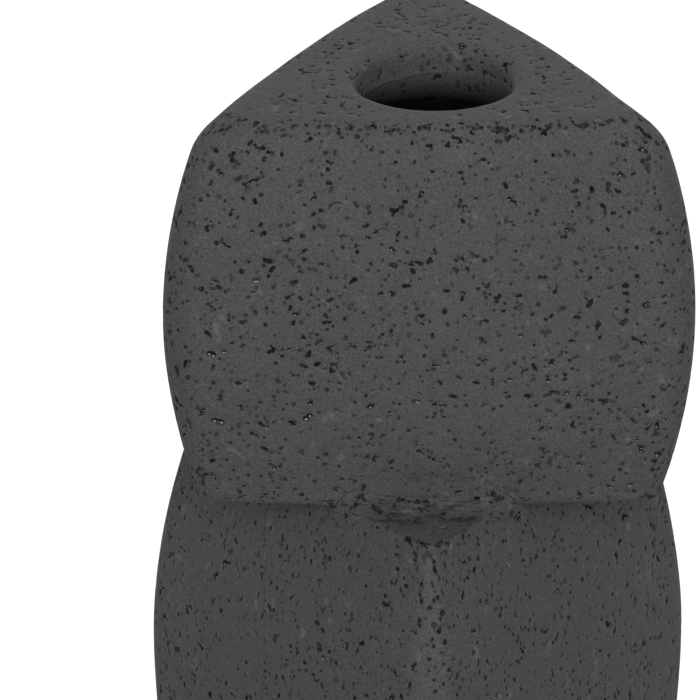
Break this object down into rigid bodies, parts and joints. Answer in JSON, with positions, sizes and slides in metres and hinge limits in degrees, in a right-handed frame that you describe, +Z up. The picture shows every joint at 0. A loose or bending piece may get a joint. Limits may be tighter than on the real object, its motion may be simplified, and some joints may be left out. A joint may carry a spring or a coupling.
{
  "type": "totem vase",
  "caption": "Stoneware totem vase of stacked hollow barrel-sided triangular blocks, each turned to the next, with a round rolled mouth in a flat top.",
  "frame": {"origin": "on the ground under the middle of the vase's outline", "axes": "+Z up through the mouth, -Y towards the upper block's front face, +X to the right of it"},
  "size_m": [0.1418, 0.159, 0.3811],
  "materials": {
    "stoneware": "matt charcoal stoneware with dark pits",
    "stoneware_throat": "matt charcoal stoneware, smoothed by hand",
    "stoneware_coil": "matt charcoal stoneware with smear marks",
    "stoneware_floor": "matt charcoal stoneware, rolled slab"
  },
  "bodies": {
    "root": {"upper_block": "stoneware", "throat_collar": "stoneware_throat", "upper_floor": "stoneware_floor", "upper_waist_coil": "stoneware_coil", "upper_spigot": "stoneware_floor", "middle_block": "stoneware", "middle_floor": "stoneware_floor", "lower_waist_coil": "stoneware_coil", "lower_spigot": "stoneware_floor", "lower_block": "stoneware", "base_slab": "stoneware_floor"}
  },
  "joints": []
}
